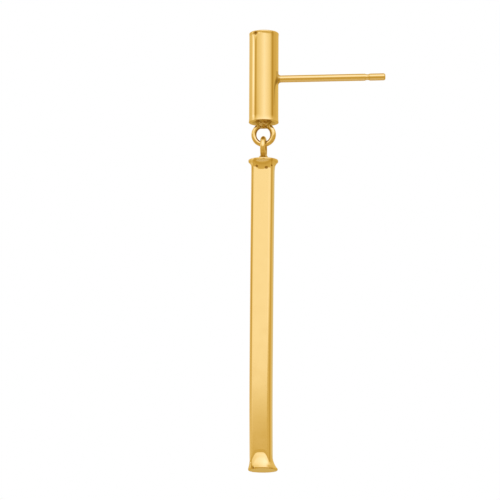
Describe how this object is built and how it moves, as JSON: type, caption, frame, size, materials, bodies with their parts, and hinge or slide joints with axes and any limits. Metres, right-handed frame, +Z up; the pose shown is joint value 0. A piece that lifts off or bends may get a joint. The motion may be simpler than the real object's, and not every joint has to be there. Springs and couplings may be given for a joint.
{
  "type": "bar earring",
  "caption": "Drop earring: a short round tube stud on an ear post, and a long square bar with flared round ends that hangs from it by two interlocked soldered rings.",
  "frame": {"origin": "on the ear post's axis, where the post leaves the back of the stud: where the earring sits on the pierced ear", "axes": "+Z up along the stud and the hanging drop, +Y back along the ear post towards its tip, +X across, to the right when the stud's front is looked at from -Y"},
  "size_m": [0.0032, 0.0143, 0.0463],
  "materials": {
    "polished_gold": "mirror-polished yellow gold"
  },
  "bodies": {
    "stud": {"stud": "polished_gold"},
    "drop": {"drop": "polished_gold"}
  },
  "joints": [
    {"name": "drop_swing", "type": "hinge", "parent": "stud", "child": "drop", "pos_m": [0, -0.00153, -0.00639], "axis": [1, 0, 0], "range_deg": [-100, 100]}
  ]
}
